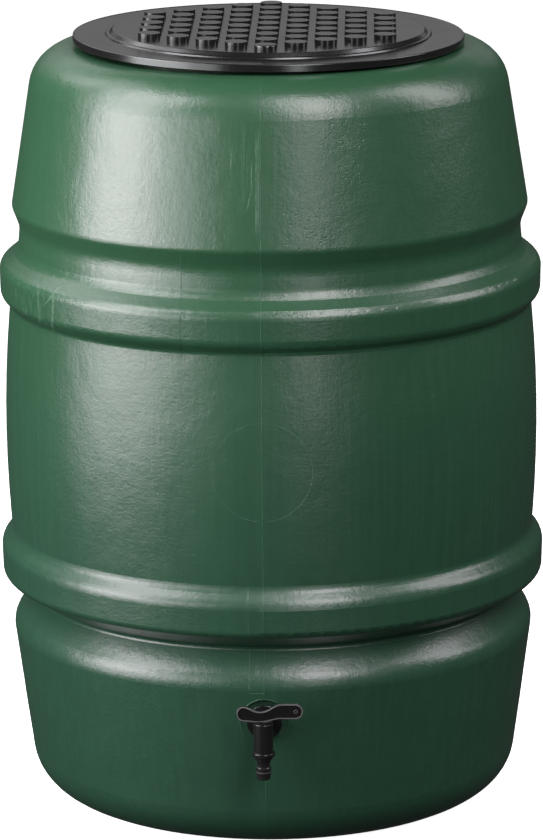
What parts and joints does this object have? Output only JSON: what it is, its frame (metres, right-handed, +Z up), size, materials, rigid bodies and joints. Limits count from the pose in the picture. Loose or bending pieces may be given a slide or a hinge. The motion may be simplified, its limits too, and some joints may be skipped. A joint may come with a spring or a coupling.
{
  "type": "rain barrel",
  "caption": "Round garden water barrel with moulded hoops, a loose knobbed lid and a quarter-turn lever tap near the foot.",
  "frame": {"origin": "centre of the barrel's flat base, on the floor", "axes": "+Z up along the barrel's axis; the tap points to -Y; +X is to the right of a person facing the tap"},
  "size_m": [0.6464, 0.6805, 0.9227],
  "materials": {
    "green_shell": "satin blow-moulded polyethylene",
    "black_lid": "satin moulded plastic",
    "black_tap": "semi-gloss moulded plastic",
    "black_lever": "fine-grained web with a polished rim",
    "black_adaptor": "gloss moulded plastic",
    "clip_plastic": "natural acetal",
    "washer_rubber": "matte",
    "seal_rubber": "greased"
  },
  "bodies": {
    "barrel_body": {"barrel": "green_shell", "tap_body": "black_tap", "outer_washer": "washer_rubber", "inner_washer": "washer_rubber", "backnut": "black_tap", "hose_adaptor": "black_adaptor", "adaptor_washer": "seal_rubber", "nipple_seal": "seal_rubber"},
    "lid_body": {"lid": "black_lid"},
    "valve_body": {"tap_lever": "black_lever", "plug_seal_upper": "seal_rubber", "plug_seal_lower": "seal_rubber", "plug_clip": "clip_plastic"}
  },
  "joints": [
    {"name": "lid_lift", "type": "slide", "parent": "barrel_body", "child": "lid_body", "axis": [0, 0, 1], "range_m": [0, 0.3]},
    {"name": "tap_turn", "type": "hinge", "parent": "barrel_body", "child": "valve_body", "pos_m": [0, -0.344, 0.163], "axis": [0, 0, 1], "range_deg": [-90, 0]}
  ]
}
